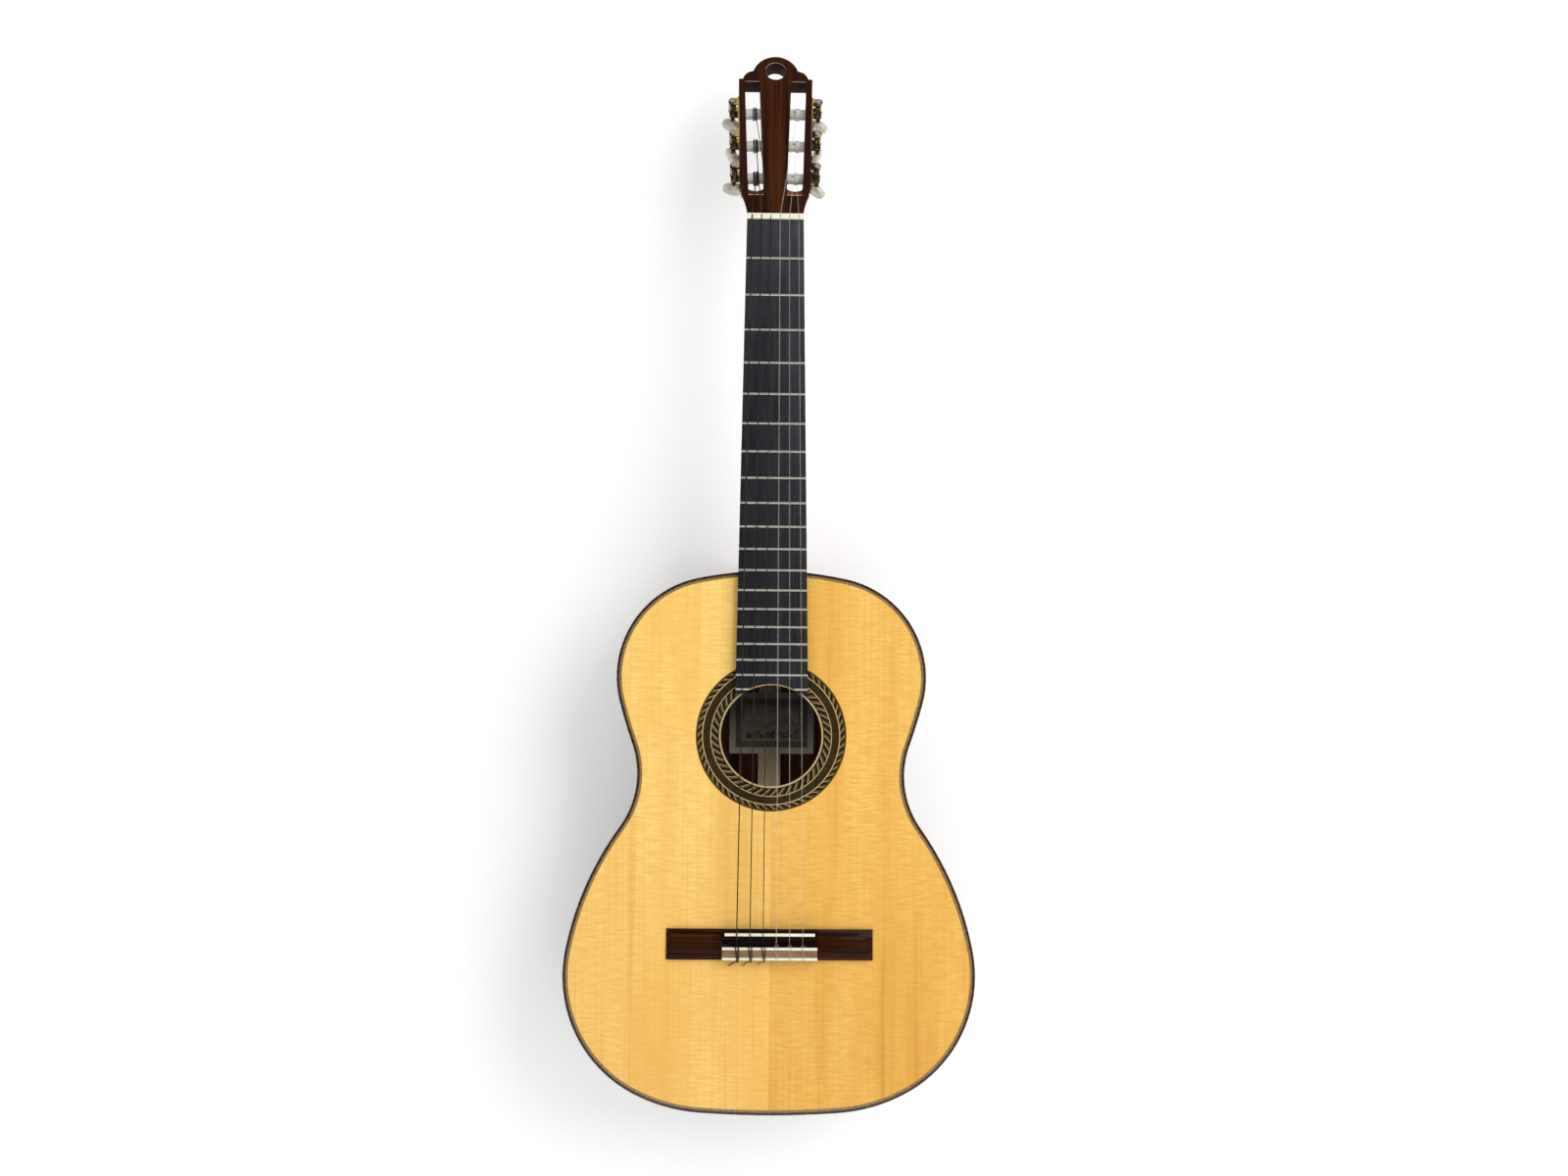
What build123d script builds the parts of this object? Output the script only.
from build123d import *
import os
from math import acos, atan, atan2, cos, degrees, pi, radians, sin, sqrt, tan

# A classical guitar that hangs by the round hole in the crest of its head.
# Guitar axes while modelling: X to the treble side, Z up along the neck, Y from front to back.
# Y = 0 is the face of the soundboard and Z = 0 is the front of the nut. At export everything
# moves so that the origin is the middle of the hole in the head.

# Scale and body
SCALE_LENGTH = 650.0
FRET_COUNT = 19
BODY_FRET = 12
BODY_TOP_Z = -SCALE_LENGTH / 2.0
# Radius and turn of each arc of the body's half outline, from the neck round to the tail.
OUTLINE_ARCS = [
    (322.0, 12.3),   # crown beside the neck
    (91.0, 92.5),    # shoulder and upper bout
    (460.0, 5.0),
    (81.0, -55.5),   # waist
    (275.0, 25.0),
    (117.0, 73.0),   # lower bout
    (152.0, 23.5),
]
TOP_THICKNESS = 2.4
BACK_THICKNESS = 2.5
RIB_THICKNESS = 2.0
BINDING_WIDTH = 2.4
BINDING_DEPTH = 6.0
PURFLING_WIDTH = 2.2
PURFLING_DEPTH = 1.4
LINING_WIDTH = 6.0
LINING_DEPTH = 14.0
BACK_STRIP_HALF = 1.6
GRAFT_HALF = 7.0
TAIL_BLOCK_HALF = 35.0
TAIL_BLOCK_LENGTH = 18.0
# Anything deeper than this belongs to the back rather than to the soundboard.
BACK_ZONE_Y = 60.0
BACK_RADIUS = 4000.0
BACK_DEPTH = 104.0
BACK_DEEPEST_Z = BODY_TOP_Z - 300.0

# Inside the body: braces, bridge patch, seam strip and label
TOP_BARS = [(-409.0, 16.0), (-540.0, 15.0)]   # height up the body and depth of each cross bar
TOP_BAR_HALF = 3.0
FAN_TOP_Z = -550.0
FAN_SPACING = 17.0
FAN_SPREAD = 5.5
FAN_WIDTH = 4.5
FAN_DEPTH = 4.0
FAN_LENGTH = 236.0
PATCH_HALF = 95.0
PATCH_LOW_Z = -676.0
PATCH_HIGH_Z = -646.0
PATCH_THICKNESS = 1.6
BACK_BAR_Z = [-402.0, -560.0, -690.0]
BACK_BAR_HALF = 3.5
BACK_BAR_DEPTH = 13.0
SEAM_STRIP_HALF = 10.5
SEAM_STRIP_THICKNESS = 1.8
LABEL_LEFT = -38.0
LABEL_RIGHT = 42.0
LABEL_LOW_Z = -490.0
LABEL_HIGH_Z = -432.0
LABEL_THICKNESS = 0.4
INSIDE_GAP = 0.2

# Soundhole and rosette
HOLE_Z = -474.8
HOLE_RADIUS = 45.6
ROSETTE_RADIUS = 68.1
ROSETTE_DEPTH = 1.3
ROSETTE_STEPS = [HOLE_RADIUS, 52.7, 60.7, ROSETTE_RADIUS]

# Neck and fingerboard
NUT_WIDTH = 52.4
WIDTH_AT_BODY = 62.2
BOARD_THICKNESS = 6.0
BOARD_END_Z = -437.0
SCALLOP_RADIUS = 47.0
SCALLOP_HALF_WIDTH = 20.3
FRET_WIDTH = 2.3
FRET_HEIGHT = 1.05
TANG_WIDTH = 0.6
TANG_DEPTH = 2.0
NUT_LENGTH = 5.5
NUT_HEIGHT = 8.2
# Half width and depth of the neck's half round section at each height.
NECK_SECTIONS = [
    (8.0, 26.0, 15.2),
    (-40.0, 26.8, 15.8),
    (-190.0, 29.0, 17.2),
    (-285.0, 30.4, 18.4),
    (-335.0, 31.2, 19.0),
]
# Depth behind the soundboard, half width and height above the body of the heel's sections.
HEEL_SECTIONS = [
    (7.0, 30.8, 50.0),
    (18.0, 29.0, 42.0),
    (26.0, 26.0, 31.0),
    (36.0, 21.5, 23.5),
    (52.0, 17.2, 18.5),
    (74.0, 14.5, 16.5),
    (96.0, 13.0, 16.0),
]
HEEL_FOOT_HALF_WIDTH = 30.0
RIB_SLOT_HALF_WIDTH = 12.0

# Bridge
BRIDGE_LENGTH = 185.0
BRIDGE_TOP_Z = -647.4
BRIDGE_WIDTH = 27.4
WING_EDGE = 2.6
WING_CROWN = 4.3
WING_BEVEL = 8.0
WING_TIP = 0.9
BLOCK_HALF = 42.5
SADDLE_Z = -652.0
SADDLE_LENGTH = 80.5
SADDLE_THICKNESS = 2.6
SADDLE_TOP = 12.6
SADDLE_BED_BACK_Z = -656.8
SADDLE_BED_HEIGHT = 8.6
TIE_FRONT_Z = -663.4
TIE_HEIGHT = 8.6
CHANNEL_HEIGHT = 4.2
TIE_HOLE_HEIGHT = 5.0
STRIP_WIDTH = 2.4
STRIP_HEIGHT = 1.4

# Strings, from the low E to the high E
STRING_RADII = [0.54, 0.45, 0.37, 0.51, 0.41, 0.36]
NUT_SPREAD = 43.0
SADDLE_SPREAD = 59.0
NUT_TOP = 7.5

# Head
HEAD_LEAN = 15.5
HEAD_FACE_Y = -1.5
HEAD_THICKNESS = 20.0
VENEER = 1.6
UNDERLAY = 0.6
CREST_HOLE_S = 157.3
CREST_HOLE_RADIUS = 10.0
CREST_TOP_S = 173.0
EAR_S = 148.0
EAR_HALF = 35.0
FOOT_S = 33.0
FOOT_HALF = 32.0
SLOT_LOW_S = 35.0
SLOT_ROUND = 5.5
SLOT_HIGH_S = 146.2
SLOT_INNER = (10.4, 15.0)
SLOT_OUTER = (25.3, 29.3)
RAMP_S = 19.8
RAMP_SLOPE = 37.0

# Tuning machines
ROLLER_S = [44.0, 79.3, 114.5]
ROLLER_DEPTH = 10.0
ROLLER_RADIUS = 5.0
RUNNING_GAP = 0.06
ROLLER_BEARING = 5.0
SPIGOT_RADIUS = 2.5
PLATE_THICKNESS = 1.2
PLATE_LOW = -46.5
PLATE_HIGH = 51.5
PLATE_HALF_WIDTH = 8.5
MODULE = 0.8
GEAR_TEETH = 16
GEAR_WIDTH = 3.6
WORM_PITCH_RADIUS = 2.9
GEAR_PITCH_RADIUS = MODULE * GEAR_TEETH / 2.0
WORM_OFFSET = GEAR_PITCH_RADIUS + WORM_PITCH_RADIUS
WORM_OUT = 6.5
WORM_LENGTH = 12.0
BACKLASH = 0.30
SHAFT_RADIUS = 1.5
BRACKET_THICKNESS = 2.0
BRACKET_HALF = 3.7
BUTTON_BACK = 33.0
BUTTON_HALF_WIDTH = 10.4
BUTTON_HALF_LENGTH = 7.4
BUTTON_THICKNESS = 8.0
BUTTON_TURNS = [8.0, 62.0, 24.0, -14.0, 74.0, -40.0]
# Across each slot, where the string's winding sits on its roller.
WINDING_X = [-17.6, -18.3, -19.2, 21.0, 20.8, 19.4]
WINDING_TURNS = 4
STRING_HOLE_SHIFT = 3.6
STRING_HOLE_RADIUS = 1.1
BASS_HOLE_TURN = 60.0


def fret_z(number):
    return -SCALE_LENGTH * (1.0 - 2.0 ** (-number / 12.0))


def board_half_width(z):
    return NUT_WIDTH / 2.0 + (WIDTH_AT_BODY - NUT_WIDTH) / 2.0 * z / BODY_TOP_Z


# ---------------------------------------------------------------- body outline

def walk(start, heading, radius, turn, share):
    """The point and heading after a share of an arc; heading 0 is +X and 90 is towards the tail."""
    side = 1.0 if turn > 0 else -1.0
    done = heading + turn * share
    x = start[0] + side * radius * (sin(radians(done)) - sin(radians(heading)))
    v = start[1] - side * radius * (cos(radians(done)) - cos(radians(heading)))
    return (x, v), done


def outline_arcs():
    """OUTLINE_ARCS with the last arc that brings the outline back to the centre line."""
    point, heading = (0.0, 0.0), 0.0
    for radius, turn in OUTLINE_ARCS:
        point, heading = walk(point, heading, radius, turn, 1.0)
    rest = 180.0 - heading
    return OUTLINE_ARCS + [(point[0] / sin(radians(rest)), rest)]


def body_length():
    point, heading = (0.0, 0.0), 0.0
    for radius, turn in outline_arcs():
        point, heading = walk(point, heading, radius, turn, 1.0)
    return point[1]


def half_outline(inset, y, side):
    """Edges of one half of the outline, moved inwards by inset, in the plane at depth y."""
    point, heading, edges = (0.0, inset), 0.0, []
    for radius, turn in outline_arcs():
        grown = radius - inset if turn > 0 else radius + inset
        middle, _ = walk(point, heading, grown, turn, 0.5)
        end, heading = walk(point, heading, grown, turn, 1.0)
        corners = [(side * p[0], y, BODY_TOP_Z - p[1]) for p in (point, middle, end)]
        edges.append(ThreePointArc(*corners))
        point = end
    return edges


def prism(inset, y0, y1):
    edges = half_outline(inset, y0, 1.0) + half_outline(inset, y0, -1.0)
    return extrude(make_face(edges), amount=y1 - y0, dir=(0, 1, 0))


def ring(outer, inner, y0, y1):
    return prism(outer, y0, y1) - prism(inner, y0, y1)


def block(x0, x1, y0, y1, z0, z1):
    centre = Pos((x0 + x1) / 2.0, (y0 + y1) / 2.0, (z0 + z1) / 2.0)
    return centre * Box(x1 - x0, y1 - y0, z1 - z0)


def dome(inset):
    """The ball whose surface is the arched back, moved inwards by inset."""
    return Pos(0, BACK_DEPTH - BACK_RADIUS, BACK_DEEPEST_Z) * Sphere(BACK_RADIUS - inset)


def halves(shape):
    bass = split(shape, bisect_by=Plane.YZ, keep=Keep.BOTTOM)
    treble = split(shape, bisect_by=Plane.YZ, keep=Keep.TOP)
    return bass, treble


def hole_cylinder(radius, y0, y1):
    length = y1 - y0
    return Pos(0, (y0 + y1) / 2.0, HOLE_Z) * (Rot(90, 0, 0) * Cylinder(radius, length))


DEEP = BACK_DEPTH + 10.0
TAIL_Z = BODY_TOP_Z - body_length()
INNER = RIB_THICKNESS
NECK_GAP = block(-RIB_SLOT_HALF_WIDTH, RIB_SLOT_HALF_WIDTH, -1, DEEP, BODY_TOP_Z - 8, BODY_TOP_Z + 5)


def make_purflings():
    top = ring(BINDING_WIDTH, BINDING_WIDTH + PURFLING_WIDTH, 0, PURFLING_DEPTH)
    back = ring(BINDING_WIDTH, BINDING_WIDTH + PURFLING_WIDTH, BACK_ZONE_Y, DEEP) & dome(0)
    return top, back - dome(PURFLING_DEPTH)


def make_bindings():
    top = ring(0, BINDING_WIDTH, 0, BINDING_DEPTH) - NECK_GAP
    back = (ring(0, BINDING_WIDTH, BACK_ZONE_Y, DEEP) & dome(0)) - dome(BINDING_DEPTH) - NECK_GAP
    return top, back


def make_rosette():
    rings = []
    for low, high in zip(ROSETTE_STEPS, ROSETTE_STEPS[1:]):
        rings.append(hole_cylinder(high, 0, ROSETTE_DEPTH) - hole_cylinder(low, -1, 3))
    return rings


def make_top(purfling):
    plate = prism(BINDING_WIDTH, 0, TOP_THICKNESS) - purfling
    plate -= hole_cylinder(HOLE_RADIUS, -1, 5)
    plate -= hole_cylinder(ROSETTE_RADIUS, -1, ROSETTE_DEPTH)
    return halves(plate)


def make_back(purfling):
    plate = (prism(BINDING_WIDTH, BACK_ZONE_Y, DEEP) & dome(0)) - dome(BACK_THICKNESS) - purfling
    strip_zone = block(-BACK_STRIP_HALF, BACK_STRIP_HALF, BACK_ZONE_Y, DEEP, TAIL_Z, BODY_TOP_Z)
    strip = plate & strip_zone
    bass, treble = halves(plate - strip_zone)
    return bass, treble, strip


def make_ribs():
    wall = ring(0, INNER, BINDING_DEPTH, DEEP) & dome(BINDING_DEPTH)
    wall -= NECK_GAP
    graft_zone = block(-GRAFT_HALF, GRAFT_HALF, -1, DEEP, TAIL_Z - 5, TAIL_Z + 20)
    graft = wall & graft_zone
    bass, treble = halves(wall - graft_zone)
    return bass, treble, graft


def make_linings():
    gap = block(-42, 42, -1, DEEP, BODY_TOP_Z - 30, BODY_TOP_Z + 5)
    gap += block(-36, 36, -1, DEEP, TAIL_Z - 5, TAIL_Z + 30)
    top = ring(INNER, INNER + LINING_WIDTH, TOP_THICKNESS, TOP_THICKNESS + LINING_DEPTH)
    top -= ring(0, BINDING_WIDTH, 0, BINDING_DEPTH)
    back = ring(INNER, INNER + LINING_WIDTH, BACK_ZONE_Y, DEEP) & dome(BACK_THICKNESS)
    back -= dome(BACK_THICKNESS + LINING_DEPTH)
    back -= ring(0, BINDING_WIDTH, BACK_ZONE_Y, DEEP) - dome(BINDING_DEPTH)
    return top - gap, back - gap


def make_tail_block():
    zone = block(-TAIL_BLOCK_HALF, TAIL_BLOCK_HALF, TOP_THICKNESS, DEEP,
                 TAIL_Z, TAIL_Z + TAIL_BLOCK_LENGTH)
    solid = (prism(INNER, TOP_THICKNESS, DEEP) & zone) & dome(BACK_THICKNESS)
    solid -= ring(0, BINDING_WIDTH, 0, BINDING_DEPTH)
    return solid - (ring(0, BINDING_WIDTH, BACK_ZONE_Y, DEEP) - dome(BINDING_DEPTH))


def inside_room(y0):
    """The space within the linings from depth y0 down to the back."""
    return prism(INNER + LINING_WIDTH + INSIDE_GAP, y0, DEEP)


def make_top_bars():
    return [block(TAIL_Z, -TAIL_Z, TOP_THICKNESS, TOP_THICKNESS + tall, z - TOP_BAR_HALF, z + TOP_BAR_HALF)
            & inside_room(0) for z, tall in TOP_BARS]


def make_fan():
    """Seven thin struts under the bridge that spread towards the tail."""
    zone = block(TAIL_Z, -TAIL_Z, 0, 20, TAIL_Z + TAIL_BLOCK_LENGTH + 6, FAN_TOP_Z + 4) & inside_room(0)
    struts = []
    for index in range(-3, 4):
        top = Pos(index * FAN_SPACING, TOP_THICKNESS + FAN_DEPTH / 2.0, FAN_TOP_Z)
        bar = top * Rot(0, index * FAN_SPREAD, 0) * Pos(0, 0, -FAN_LENGTH / 2.0 - 2)
        struts.append((bar * Box(FAN_WIDTH, FAN_DEPTH, FAN_LENGTH)) & zone)
    return struts


def make_bridge_patch(fan):
    patch = block(-PATCH_HALF, PATCH_HALF, TOP_THICKNESS, TOP_THICKNESS + PATCH_THICKNESS,
                  PATCH_LOW_Z, PATCH_HIGH_Z)
    for strut in fan:
        patch -= strut
    return patch


def back_layer(top, bottom):
    """What lies between two depths below the outside of the arched back."""
    return dome(top) - dome(bottom)


def make_back_braces():
    room = inside_room(BACK_ZONE_Y) & back_layer(BACK_THICKNESS, BACK_THICKNESS + BACK_BAR_DEPTH)
    return [room & block(TAIL_Z, -TAIL_Z, BACK_ZONE_Y, DEEP, z - BACK_BAR_HALF, z + BACK_BAR_HALF)
            for z in BACK_BAR_Z]


def make_seam_strip(braces):
    strip = block(-SEAM_STRIP_HALF, SEAM_STRIP_HALF, BACK_ZONE_Y, DEEP, TAIL_Z + 20, BODY_TOP_Z - 62)
    strip = strip & back_layer(BACK_THICKNESS, BACK_THICKNESS + SEAM_STRIP_THICKNESS)
    for brace in braces:
        strip -= brace
    return strip


def make_label():
    sheet = block(LABEL_LEFT, LABEL_RIGHT, BACK_ZONE_Y, DEEP, LABEL_LOW_Z, LABEL_HIGH_Z)
    under = BACK_THICKNESS + SEAM_STRIP_THICKNESS
    return sheet & back_layer(under, under + LABEL_THICKNESS)


# ---------------------------------------------------------------- neck and board

def neck_section(z, half, depth):
    arc = EllipticalCenterArc((0, 0), half, depth, start_angle=0, arc_size=180)
    face = make_face([arc, Line((-half, 0), (half, 0))])
    return Plane.XY.offset(z) * face


def heel_section(y, half, height):
    base = 10.0
    plane = Plane(origin=(0, y, BODY_TOP_Z - base), x_dir=(1, 0, 0), z_dir=(0, -1, 0))
    arc = EllipticalCenterArc((0, 0), half, height + base, start_angle=0, arc_size=180)
    return plane * make_face([arc, Line((-half, 0), (half, 0))])


def make_neck(cutters):
    shaft = loft([neck_section(*row) for row in NECK_SECTIONS])
    heel = loft([heel_section(*row) for row in HEEL_SECTIONS])
    outside = (shaft + heel) - prism(0, -1, DEEP + 20)
    foot = block(-HEEL_FOOT_HALF_WIDTH, HEEL_FOOT_HALF_WIDTH, TOP_THICKNESS, DEEP,
                 BODY_TOP_Z - 24, BODY_TOP_Z)
    slipper = block(-HEEL_FOOT_HALF_WIDTH, HEEL_FOOT_HALF_WIDTH, TOP_THICKNESS, 19.0,
                    BODY_TOP_Z - 52, BODY_TOP_Z - 20)
    inside = (foot + slipper) & prism(INNER, 0, DEEP) & dome(BACK_THICKNESS)
    tongue = block(-RIB_SLOT_HALF_WIDTH, RIB_SLOT_HALF_WIDTH, 0, DEEP,
                   BODY_TOP_Z - 6, BODY_TOP_Z + 2)
    tongue = tongue & prism(-1, 0, DEEP)
    solid = (outside + inside + tongue) & dome(0)
    for cutter in cutters:
        solid -= cutter
    beyond = HEAD * Pos(0, 40, 0) * Box(120, 80, 120)
    return solid - beyond


def scallop():
    """The curved bite at the soundhole end of the fingerboard, as a solid."""
    top = (0.0, HOLE_Z + SCALLOP_RADIUS)
    side_z = HOLE_Z + sqrt(SCALLOP_RADIUS ** 2 - SCALLOP_HALF_WIDTH ** 2)
    horn = (SCALLOP_HALF_WIDTH + 6.0, BOARD_END_Z)
    shoulder = (SCALLOP_HALF_WIDTH + 2.4, BOARD_END_Z + 0.9)
    low = BOARD_END_Z - 10.0
    arcs = [
        ThreePointArc((-SCALLOP_HALF_WIDTH, side_z), top, (SCALLOP_HALF_WIDTH, side_z)),
        ThreePointArc((SCALLOP_HALF_WIDTH, side_z), shoulder, horn),
        Line(horn, (60, BOARD_END_Z)),
        Line((60, BOARD_END_Z), (60, low)),
        Line((60, low), (-60, low)),
        Line((-60, low), (-60, BOARD_END_Z)),
        Line((-60, BOARD_END_Z), (-horn[0], BOARD_END_Z)),
        ThreePointArc((-horn[0], BOARD_END_Z), (-shoulder[0], shoulder[1]),
                      (-SCALLOP_HALF_WIDTH, side_z)),
    ]
    face = Plane(origin=(0, 5, 0), x_dir=(1, 0, 0), z_dir=(0, -1, 0)) * make_face(arcs)
    return extrude(face, amount=20, dir=(0, -1, 0))


def make_fingerboard():
    low = BOARD_END_Z - 2.0
    corners = [
        (-board_half_width(0), 0.0),
        (board_half_width(0), 0.0),
        (board_half_width(low), low),
        (-board_half_width(low), low),
    ]
    outline = Polyline(*corners, close=True)
    face = Plane.XZ * make_face(outline)
    board = extrude(face, amount=BOARD_THICKNESS, dir=(0, -1, 0)) - scallop()
    for number in range(1, FRET_COUNT + 1):
        z = fret_z(number)
        board -= block(-40, 40, -BOARD_THICKNESS, TANG_DEPTH - BOARD_THICKNESS,
                       z - TANG_WIDTH / 2.0, z + TANG_WIDTH / 2.0)
    return board


def make_frets():
    frets = []
    for number in range(1, FRET_COUNT + 1):
        z = fret_z(number)
        half = board_half_width(z) - 0.15
        crown = make_face([
            ThreePointArc((-FRET_WIDTH / 2.0, 0), (0, FRET_HEIGHT), (FRET_WIDTH / 2.0, 0)),
            Line((FRET_WIDTH / 2.0, 0), (-FRET_WIDTH / 2.0, 0)),
        ])
        plane = Plane(origin=(-half, -BOARD_THICKNESS, z), x_dir=(0, 0, 1), z_dir=(1, 0, 0))
        bar = extrude(plane * crown, amount=2 * half, dir=(1, 0, 0))
        bar += block(-half, half, -BOARD_THICKNESS, TANG_DEPTH - BOARD_THICKNESS,
                     z - TANG_WIDTH / 2.0, z + TANG_WIDTH / 2.0)
        bar -= scallop()
        frets += bar.solids()
    return frets


# ---------------------------------------------------------------- strings

def string_x(index, spread):
    return -spread / 2.0 + spread * index / 5.0


def head_point(x, s, height):
    """A point given on the head: across, along from the nut, and in front of the face."""
    return (HEAD * Pos(x, s, height)).position


def string_route(index):
    radius = STRING_RADII[index]
    nut = Vector(string_x(index, NUT_SPREAD), -(NUT_TOP + radius), NUT_LENGTH / 2.0)
    local = HEAD.inverse() * Pos(nut.X, nut.Y, nut.Z)
    near = local.position
    roller_s = ROLLER_S[index] if index < 3 else ROLLER_S[5 - index]
    reach = ROLLER_RADIUS + 3.0 * radius + 0.3
    ds = near.Y - roller_s
    dz = near.Z + ROLLER_DEPTH
    angle = atan2(dz, ds) - acos(reach / sqrt(ds * ds + dz * dz))
    start = head_point(WINDING_X[index], roller_s + reach * cos(angle),
                       -ROLLER_DEPTH + reach * sin(angle))
    x = string_x(index, SADDLE_SPREAD)
    saddle = Vector(x, -(SADDLE_TOP + radius + 0.12), SADDLE_Z - 1.0)
    back_z = BRIDGE_TOP_Z - BRIDGE_WIDTH
    over = TIE_HEIGHT + 0.4 + radius
    return [
        start,
        nut,
        saddle,
        Vector(x, -TIE_HOLE_HEIGHT, TIE_FRONT_Z + 2.2),
        Vector(x, -TIE_HOLE_HEIGHT, back_z - 1.6),
        Vector(x + 1.7, -over, back_z - 1.4),
        Vector(x + 1.7, -over, TIE_FRONT_Z + 1.6),
        Vector(x + 1.4, -TIE_HOLE_HEIGHT - 0.9, TIE_FRONT_Z + 1.9),
    ]


def make_string(index):
    radius = STRING_RADII[index]
    route = string_route(index)
    path = FilletPolyline(*route, radius=[3.0, 2.0, 2.0, 1.3, 1.3, 1.1])
    start = path @ 0
    profile = Plane(origin=start, z_dir=path % 0) * Circle(radius)
    return sweep(profile, path=path)


# ---------------------------------------------------------------- bridge

def make_bridge():
    back_z = BRIDGE_TOP_Z - BRIDGE_WIDTH
    arch = make_face([
        Line((0, 0), (0, WING_EDGE)),
        ThreePointArc((0, WING_EDGE), (BRIDGE_WIDTH / 2.0, WING_CROWN), (BRIDGE_WIDTH, WING_EDGE)),
        Line((BRIDGE_WIDTH, WING_EDGE), (BRIDGE_WIDTH, 0)),
        Line((BRIDGE_WIDTH, 0), (0, 0)),
    ])
    plane = Plane(origin=(-BRIDGE_LENGTH / 2.0, 0, back_z), x_dir=(0, 0, 1), z_dir=(1, 0, 0))
    base = extrude(plane * arch, amount=BRIDGE_LENGTH, dir=(1, 0, 0))
    slope = degrees(atan((WING_CROWN - WING_TIP) / WING_BEVEL))
    for side in (1.0, -1.0):
        edge = Pos(side * BRIDGE_LENGTH / 2.0, -WING_TIP, back_z) * Rot(0, 0, side * slope)
        base -= edge * Pos(0, -10, BRIDGE_WIDTH / 2.0) * Box(60, 20, 80)
    base += block(-BLOCK_HALF, BLOCK_HALF, -SADDLE_BED_HEIGHT, 0, SADDLE_BED_BACK_Z, BRIDGE_TOP_Z)
    base += block(-BLOCK_HALF, BLOCK_HALF, -TIE_HEIGHT, 0, back_z, TIE_FRONT_Z)
    base -= block(-BLOCK_HALF, BLOCK_HALF, -20, -CHANNEL_HEIGHT, TIE_FRONT_Z, SADDLE_BED_BACK_Z)
    nose = Pos(0, -SADDLE_BED_HEIGHT, BRIDGE_TOP_Z) * Rot(45, 0, 0) * Box(2 * BLOCK_HALF + 2, 2.6, 2.6)
    base -= nose
    slot = SlotOverall(SADDLE_LENGTH + 5.0, SADDLE_THICKNESS)
    face = Plane(origin=(0, -2.0, SADDLE_Z), x_dir=(1, 0, 0), z_dir=(0, -1, 0)) * slot
    base -= extrude(face, amount=20, dir=(0, -1, 0))
    for strip in make_tie_strips():
        base -= strip
    for index in range(6):
        x = string_x(index, SADDLE_SPREAD)
        bore = Cylinder(STRING_RADII[index] + 0.3, 30)
        base -= Pos(x, -TIE_HOLE_HEIGHT, back_z) * bore
    return base


def make_tie_strips():
    back_z = BRIDGE_TOP_Z - BRIDGE_WIDTH
    low = -TIE_HEIGHT
    return [
        block(-BLOCK_HALF, BLOCK_HALF, low, low + STRIP_HEIGHT, TIE_FRONT_Z - STRIP_WIDTH, TIE_FRONT_Z),
        block(-BLOCK_HALF, BLOCK_HALF, low, low + STRIP_HEIGHT, back_z, back_z + STRIP_WIDTH),
    ]


def make_saddle():
    half = SADDLE_LENGTH / 2.0
    bar = block(-half, half, -SADDLE_TOP, -2.0,
                SADDLE_Z - SADDLE_THICKNESS / 2.0, SADDLE_Z + SADDLE_THICKNESS / 2.0)
    crest = bar.edges().filter_by(Axis.X).sort_by(Axis.Y)[:2]
    return fillet(crest, 1.0)


def make_nut():
    half = NUT_WIDTH / 2.0
    bar = block(-half, half, -NUT_HEIGHT, 0, 0, NUT_LENGTH)
    crest = bar.edges().filter_by(Axis.X).sort_by(Axis.Y)[:2]
    bar = fillet(crest, 1.3)
    for index in range(6):
        radius = STRING_RADII[index]
        route = string_route(index)
        for other in (route[0], route[2]):
            run = other - route[1]
            spot = Plane(origin=route[1], z_dir=run)
            bar -= spot * Pos(0, 0, 3.5) * Cylinder(radius + 0.12, 8)
        x, y = route[1].X, route[1].Y
        bar -= block(x - radius, x + radius, y - 2, y, -1, NUT_LENGTH + 1)
    return bar


# ---------------------------------------------------------------- head

def head_side(s):
    return FOOT_HALF + (EAR_HALF - FOOT_HALF) * (s - FOOT_S) / (EAR_S - FOOT_S)


SIDE_TILT = degrees(atan((EAR_HALF - FOOT_HALF) / (EAR_S - FOOT_S)))


def head_outline():
    """Outline of the head: tapered foot, straight sides, square ears, shoulders and a domed crest."""
    right = [
        Line((NUT_WIDTH / 2.0, -12.0), (NUT_WIDTH / 2.0, 3.0)),
        ThreePointArc((NUT_WIDTH / 2.0, 3.0), (28.3, 12.5), (31.2, 21.0)),
        ThreePointArc((31.2, 21.0), (31.75, 26.5), (FOOT_HALF, FOOT_S)),
        Line((FOOT_HALF, FOOT_S), (EAR_HALF, EAR_S)),
        Line((EAR_HALF, EAR_S), (31.0, EAR_S)),
        ThreePointArc((31.0, EAR_S), (27.8, 153.8), (22.0, 156.6)),
        Line((22.0, 156.6), (21.0, 157.4)),
        ThreePointArc((21.0, 157.4), (13.4, 168.2), (0.0, CREST_TOP_S)),
    ]
    left = [mirror(edge, about=Plane.YZ) for edge in right]
    base = Line((-NUT_WIDTH / 2.0, -12.0), (NUT_WIDTH / 2.0, -12.0))
    return make_face(right + left + [base])


def slot_edge(pair, s):
    return pair[0] + (pair[1] - pair[0]) * (s - RAMP_S) / (SLOT_HIGH_S - RAMP_S)


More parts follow.
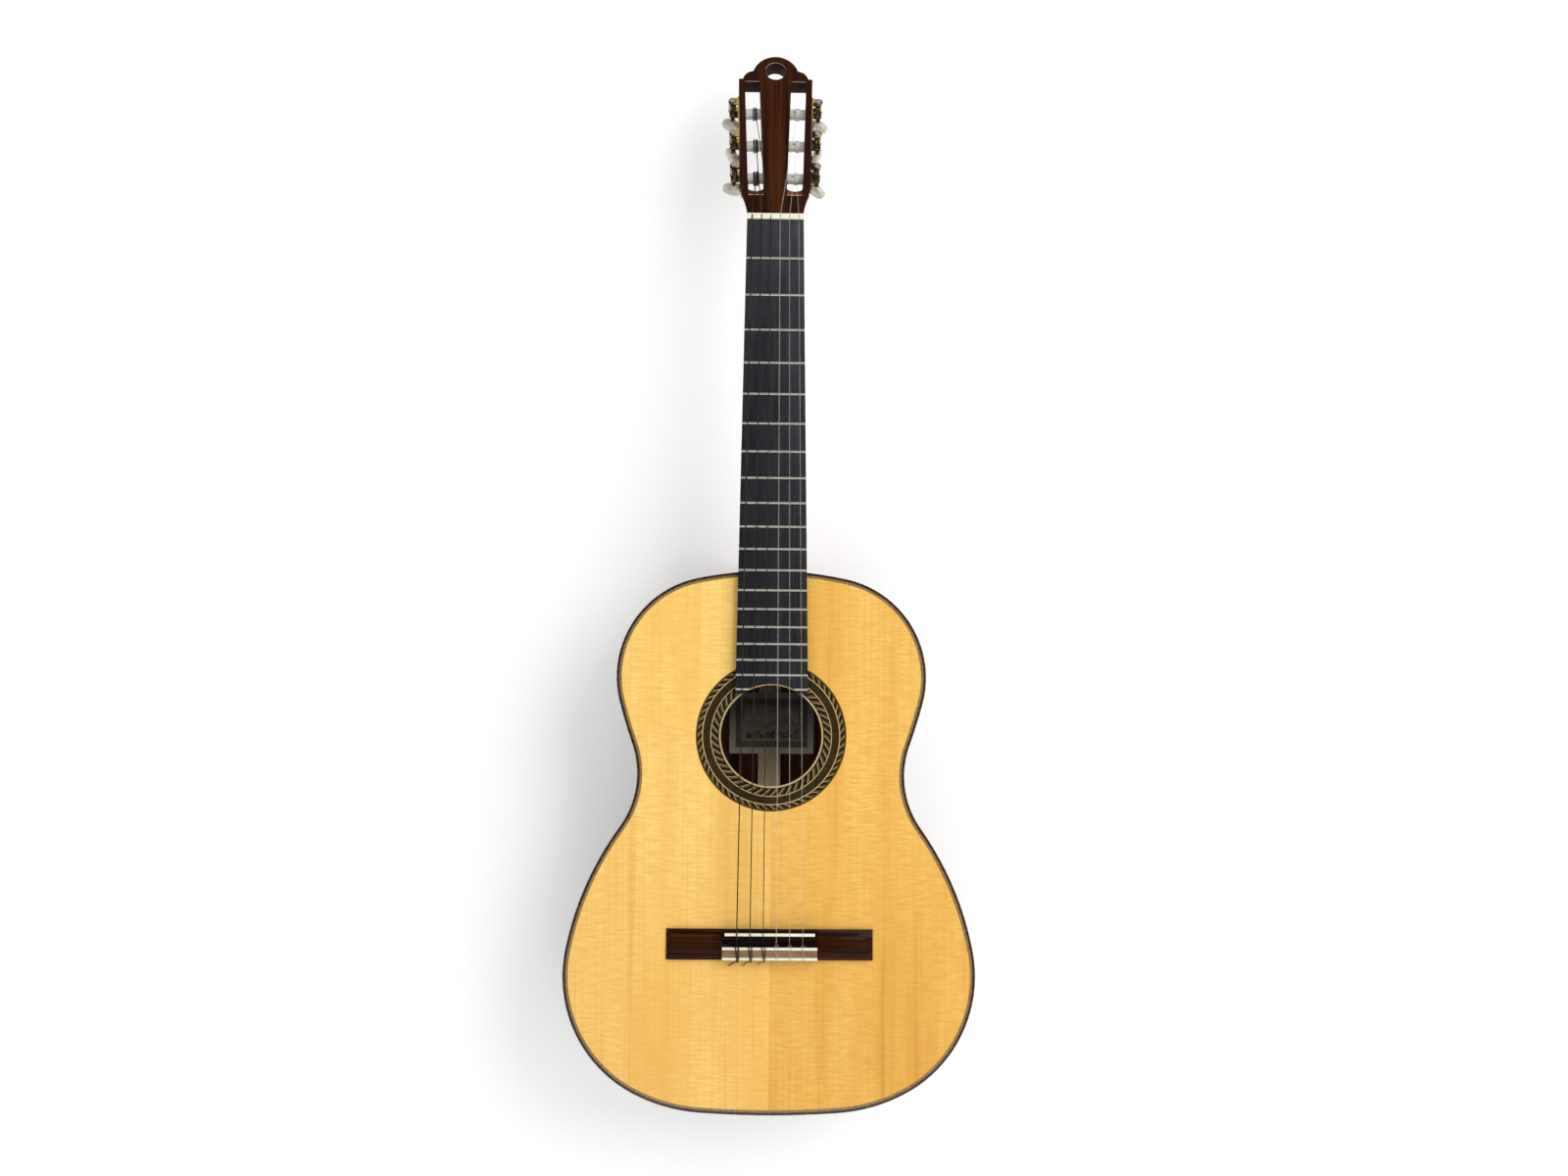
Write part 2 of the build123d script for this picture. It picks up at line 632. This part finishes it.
def slot_cutter(side):
    """One string slot with its rounded lower end and the ramp towards the nut."""
    low, high = SLOT_LOW_S, SLOT_HIGH_S
    inner_low, outer_low = slot_edge(SLOT_INNER, low), slot_edge(SLOT_OUTER, low)
    inner_high, outer_high = slot_edge(SLOT_INNER, high), slot_edge(SLOT_OUTER, high)
    middle = (inner_low + outer_low) / 2.0
    round_end = low - SLOT_ROUND
    face = make_face([
        Line((side * inner_low, low), (side * inner_high, high)),
        Line((side * inner_high, high), (side * outer_high, high)),
        Line((side * outer_high, high), (side * outer_low, low)),
        ThreePointArc((side * outer_low, low), (side * middle, round_end), (side * inner_low, low)),
    ])
    through = Pos(0, 0, -HEAD_THICKNESS - 5) * extrude(face, amount=HEAD_THICKNESS + 10, dir=(0, 0, 1))
    inner = slot_edge(SLOT_INNER, RAMP_S)
    outer = slot_edge(SLOT_OUTER, RAMP_S)
    ramp_end = low + 2.0
    depth = (ramp_end - RAMP_S) * tan(radians(RAMP_SLOPE))
    ramp = make_face(Polyline((RAMP_S, 0.0), (RAMP_S, 1.0), (ramp_end, 1.0), (ramp_end, -depth), close=True))
    plane = Plane(origin=(side * inner, 0, 0), x_dir=(0, 1, 0), z_dir=(1, 0, 0))
    width = side * (outer - inner)
    wedge = extrude(plane * ramp, amount=abs(width), dir=(side, 0, 0))
    return through + wedge


def layer(top, bottom):
    face = Pos(0, 0, bottom) * head_outline()
    return extrude(face, amount=top - bottom, dir=(0, 0, 1))


def roller_frame(side, s):
    """Frame of one tuner: X out of the head's side, Y towards the crest, origin on the roller."""
    place = HEAD * Pos(side * head_side(s), s, -ROLLER_DEPTH) * Rot(0, 0, -side * SIDE_TILT)
    return place * Rot(0, 180, 0) if side < 0 else place


def roller_reach(s):
    return head_side(s) - slot_edge(SLOT_INNER, s) + ROLLER_BEARING


def tuner_places():
    """Side, distance from the nut and string number of the six machines."""
    places = [(-1.0, ROLLER_S[k], k) for k in range(3)]
    return places + [(1.0, ROLLER_S[5 - k], k) for k in range(3, 6)]


def along_x(radius, x0, x1):
    return Pos((x0 + x1) / 2.0, 0, 0) * (Rot(0, 90, 0) * Cylinder(radius, x1 - x0))


def make_head_parts():
    slots = slot_cutter(1.0) + slot_cutter(-1.0)
    crest = Pos(0, CREST_HOLE_S, -HEAD_THICKNESS / 2.0) * Cylinder(CREST_HOLE_RADIUS, HEAD_THICKNESS + 10)
    below_joint = Pos(0, -30, 0) * Box(120, 60, 80)
    below_nut = block(-60, 60, -30, 30, -30, NUT_LENGTH)
    veneer = HEAD * (layer(0, -VENEER) - slots - crest) - below_nut
    underlay = HEAD * (layer(-VENEER, -VENEER - UNDERLAY) - slots - crest) - below_nut
    core = HEAD * (layer(-VENEER - UNDERLAY, -HEAD_THICKNESS) - slots - crest - below_joint)
    stop = HEAD * (Pos(0, 110, -10) * Box(160, 160, 80))
    flare = loft([neck_section(-2.0, 26.2, 15.6), neck_section(12.0, 27.5, 19.0),
                  neck_section(26.0, 33.5, 33.0), neck_section(40.0, 48.0, 62.0)])
    flare += block(-50, 50, -60, 0.5, -20, 60)
    core = core & (flare + stop)
    for side, s, _ in tuner_places():
        core -= roller_frame(side, s) * along_x(ROLLER_RADIUS + RUNNING_GAP, -roller_reach(s) - 0.4, 5)
    for screw in plate_screws():
        core -= screw
    return veneer, underlay, core


# ---------------------------------------------------------------- tuning machines

def plate_frame(side):
    return roller_frame(side, ROLLER_S[1])


def unit_offsets():
    return [(s - ROLLER_S[1]) / cos(radians(SIDE_TILT)) for s in ROLLER_S]


def bracket():
    """One lug that carries an end of the worm shaft, standing out from the plate."""
    reach = WORM_OUT + BRACKET_HALF
    lug = Pos((PLATE_THICKNESS + WORM_OUT) / 2.0, 0, 0)
    lug = lug * Box(WORM_OUT - PLATE_THICKNESS, 2 * BRACKET_HALF, BRACKET_THICKNESS)
    lug += Pos(WORM_OUT, 0, 0) * Cylinder(BRACKET_HALF, BRACKET_THICKNESS)
    lug -= Pos(WORM_OUT, 0, 0) * Cylinder(SHAFT_RADIUS + RUNNING_GAP, reach)
    return lug


def make_plate(side):
    middle = (PLATE_LOW + PLATE_HIGH) / 2.0
    length = PLATE_HIGH - PLATE_LOW
    outline = Plane.YZ * (Pos(middle, 0) * RectangleRounded(length, 2 * PLATE_HALF_WIDTH, 4.0))
    plate = extrude(outline, amount=PLATE_THICKNESS, dir=(1, 0, 0))
    lug_w = PLATE_HALF_WIDTH - BRACKET_THICKNESS / 2.0
    for offset in unit_offsets():
        plate -= Pos(0, offset, 0) * along_x(SPIGOT_RADIUS + RUNNING_GAP, -1, 5)
        for w in (lug_w, -lug_w):
            plate += Pos(0, offset + WORM_OFFSET, w) * bracket()
    for spot in screw_spots():
        plate -= Pos(0, *spot) * along_x(1.3, -1, 5)
    return plate_frame(side) * plate


def screw_spots():
    first, second, third = unit_offsets()
    return [(PLATE_LOW + 2.8, 0.0), ((first + WORM_OFFSET + second) / 2.0 + 1.0, 0.0),
            ((second + WORM_OFFSET + third) / 2.0 + 1.0, 0.0), (PLATE_HIGH - 3.0, 0.0)]


def plate_screws():
    screws = []
    for side in (-1.0, 1.0):
        for spot in screw_spots():
            screw = along_x(1.3, -5.0, PLATE_THICKNESS)
            screw += along_x(2.3, PLATE_THICKNESS, PLATE_THICKNESS + 0.9)
            screw -= Pos(PLATE_THICKNESS + 0.9, 0, 0) * Box(0.8, 0.6, 6)
            screws.append(plate_frame(side) * Pos(0, *spot) * screw)
    return screws


def make_roller(side, s, index):
    barrel = along_x(ROLLER_RADIUS, -roller_reach(s), -0.1)
    spigot = along_x(SPIGOT_RADIUS, -0.2, WORM_OUT + GEAR_WIDTH / 2.0)
    from_side = abs(WINDING_X[index]) - head_side(s)
    string_hole = Pos(from_side - side * STRING_HOLE_SHIFT, 0, 0) * Cylinder(STRING_HOLE_RADIUS, 20)
    if side < 0:
        string_hole = Rot(BASS_HOLE_TURN, 0, 0) * string_hole
    radius = STRING_RADII[index]
    half = WINDING_TURNS * radius
    winding = along_x(ROLLER_RADIUS + 2 * radius, from_side - half, from_side + half)
    winding -= along_x(ROLLER_RADIUS, from_side - half - 1, from_side + half + 1)
    roller = (barrel + spigot) - string_hole
    return [roller_frame(side, s) * roller, roller_frame(side, s) * winding]


def make_gear():
    """Brass worm wheel with slanted teeth, its axis along X and one tooth straight up the Y axis."""
    root = GEAR_PITCH_RADIUS - 0.85
    tip = GEAR_PITCH_RADIUS + 0.6
    lead_angle = degrees(atan(MODULE / 2.0 / WORM_PITCH_RADIUS))
    half_root = pi * MODULE / 4.0 - BACKLASH / 2.0 + 0.18
    half_tip = pi * MODULE / 4.0 - BACKLASH / 2.0 - 0.25
    face = make_face(Polyline((-half_root, root - 0.4), (half_root, root - 0.4),
                              (half_tip, tip), (-half_tip, tip), close=True))
    plane = Plane(origin=(-GEAR_WIDTH / 2.0, 0, 0), x_dir=(0, 0, 1), z_dir=(-1, 0, 0))
    tooth = extrude(plane * face, amount=GEAR_WIDTH, dir=(1, 0, 0))
    tooth = Rot(0, lead_angle, 0) * tooth
    wheel = along_x(root, -GEAR_WIDTH / 2.0, GEAR_WIDTH / 2.0)
    for number in range(GEAR_TEETH):
        wheel += Rot(360.0 * number / GEAR_TEETH, 0, 0) * tooth
    wheel = wheel & along_x(tip, -GEAR_WIDTH / 2.0, GEAR_WIDTH / 2.0)
    wheel += along_x(3.4, -WORM_OUT + PLATE_THICKNESS + 0.15, 0)
    wheel -= along_x(SPIGOT_RADIUS, -10, GEAR_WIDTH / 2.0)
    cap = along_x(2.9, GEAR_WIDTH / 2.0, GEAR_WIDTH / 2.0 + 1.1)
    cap -= Pos(GEAR_WIDTH / 2.0 + 1.1, 0, 0) * Box(0.9, 0.7, 8)
    return Pos(WORM_OUT, 0, 0) * (wheel + cap)


def make_worm(back):
    """Steel worm on its shaft, along Z, with a thread groove facing the wheel at Z = 0."""
    root = WORM_PITCH_RADIUS - 0.75
    tip = WORM_PITCH_RADIUS + 0.6
    pitch = pi * MODULE
    half_root = pitch / 4.0 - BACKLASH / 2.0 + 0.18
    half_tip = pitch / 4.0 - BACKLASH / 2.0 - 0.25
    turns = 4
    height = pitch * turns
    helix = Helix(pitch=pitch, height=height, radius=root)
    profile = make_face(Polyline((root - 0.3, -half_root), (tip, -half_tip), (tip, half_tip),
                                 (root - 0.3, half_root), close=True))
    section = Plane(origin=(0, 0, 0), x_dir=(1, 0, 0), z_dir=(0, -1, 0)) * profile
    thread = sweep(section, path=helix, is_frenet=True)
    thread = Pos(0, 0, -height / 2.0) * thread
    # The helix starts at +X; the wheel lies towards -Y, three quarters of a turn on.
    thread = Pos(0, 0, pitch / 4.0 + pitch / 2.0 - pitch) * thread
    ends = Cylinder(tip + 1, WORM_LENGTH - 1.2)
    thread = thread & ends
    shaft_front = PLATE_HALF_WIDTH + 0.9
    shaft_back = BUTTON_BACK - BUTTON_HALF_LENGTH + 2.0
    shaft = Cylinder(root, WORM_LENGTH - 0.4)
    length = shaft_front + shaft_back
    shaft += Pos(0, 0, back * (shaft_back - shaft_front) / 2.0) * Cylinder(SHAFT_RADIUS, length)
    collar = back * (PLATE_HALF_WIDTH + 0.2 + 1.5)
    shaft += Pos(0, 0, collar) * Cylinder(2.6, 3.0)
    shaft += Pos(0, 0, -back * (PLATE_HALF_WIDTH + 0.2 + 0.5)) * Cylinder(2.3, 1.0)
    return shaft + thread


def make_button(back, turn):
    outline = Rot(90, 0, 0) * Ellipse(BUTTON_HALF_WIDTH, BUTTON_HALF_LENGTH)
    paddle = extrude(outline, amount=BUTTON_THICKNESS / 2.0, both=True)
    paddle = fillet(paddle.edges(), 3.2)
    stem = Pos(0, 0, -back * (BUTTON_HALF_LENGTH - 1.0)) * Cylinder(3.1, 5.0)
    button = paddle + stem
    shaft_end = BUTTON_HALF_LENGTH - 2.0
    socket_length = 8.0
    socket = Pos(0, 0, -back * (shaft_end + socket_length / 2.0)) * Cylinder(SHAFT_RADIUS, socket_length)
    button -= socket
    return Pos(0, 0, back * BUTTON_BACK) * Rot(0, 0, turn) * button


# ---------------------------------------------------------------- assembly

def head_location():
    lean = radians(HEAD_LEAN)
    plane = Plane(origin=(0, HEAD_FACE_Y, NUT_LENGTH), x_dir=(1, 0, 0),
                  z_dir=(0, -cos(lean), sin(lean)))
    return plane.location


HEAD = head_location()
ORIGIN = (HEAD * Pos(0, CREST_HOLE_S, -HEAD_THICKNESS / 2.0)).position
FRAME = Pos(-ORIGIN.X, -ORIGIN.Y, -ORIGIN.Z)


def save(name, *shapes):
    solids = []
    for shape in shapes:
        solids += (FRAME * shape).solids()
    body = solids[0] if len(solids) == 1 else Compound(children=solids)
    export_step(body, f"parts/{name}.step")


def build_body():
    purfling_top, purfling_back = make_purflings()
    binding_top, binding_back = make_bindings()
    top = make_top(purfling_top)
    back_bass, back_treble, back_strip = make_back(purfling_back)
    rib_bass, rib_treble, graft = make_ribs()
    back_braces = make_back_braces()
    fan = make_fan()
    save("purflings", purfling_top, purfling_back)
    save("bindings", binding_top, binding_back)
    save("soundboard_bass", top[0])
    save("soundboard_treble", top[1])
    save("rosette", *make_rosette())
    save("back_bass", back_bass)
    save("back_treble", back_treble)
    save("back_centre_strip", back_strip)
    save("rib_bass", rib_bass)
    save("rib_treble", rib_treble)
    save("end_graft", graft)
    save("linings", *make_linings())
    save("tail_block", make_tail_block())
    save("top_braces", *make_top_bars(), *fan)
    save("bridge_patch", make_bridge_patch(fan))
    save("back_braces", *back_braces)
    save("back_seam_strip", make_seam_strip(back_braces))
    save("label", make_label())
    cutters = [purfling_top, purfling_back, binding_top, binding_back, top[0], top[1],
               back_bass, back_treble, back_strip, rib_bass, rib_treble]
    save("neck", make_neck(cutters))


def build_neck_fittings():
    save("fingerboard", make_fingerboard())
    save("frets", *make_frets())
    save("nut", make_nut())
    veneer, underlay, core = make_head_parts()
    save("head_veneer", veneer)
    save("head_underlay", underlay)
    save("head", core)
    save("bridge", make_bridge())
    save("tie_block_strips", *make_tie_strips())
    save("saddle", make_saddle())
    for index in range(6):
        save(f"string_{index + 1}", make_string(index))


def build_tuners():
    save("tuner_plates", make_plate(-1.0), make_plate(1.0))
    save("plate_screws", *plate_screws())
    gear = make_gear()
    worms = {back: make_worm(back) for back in (-1.0, 1.0)}
    for side, s, index in tuner_places():
        back = -side
        frame = roller_frame(side, s)
        key = frame * Pos(WORM_OUT, WORM_OFFSET, 0)
        save(f"roller_{index + 1}", *make_roller(side, s, index))
        save(f"gear_{index + 1}", frame * gear)
        save(f"worm_{index + 1}", key * worms[back])
        save(f"button_{index + 1}", key * make_button(back, BUTTON_TURNS[index]))


os.makedirs("parts", exist_ok=True)
build_body()
build_neck_fittings()
build_tuners()
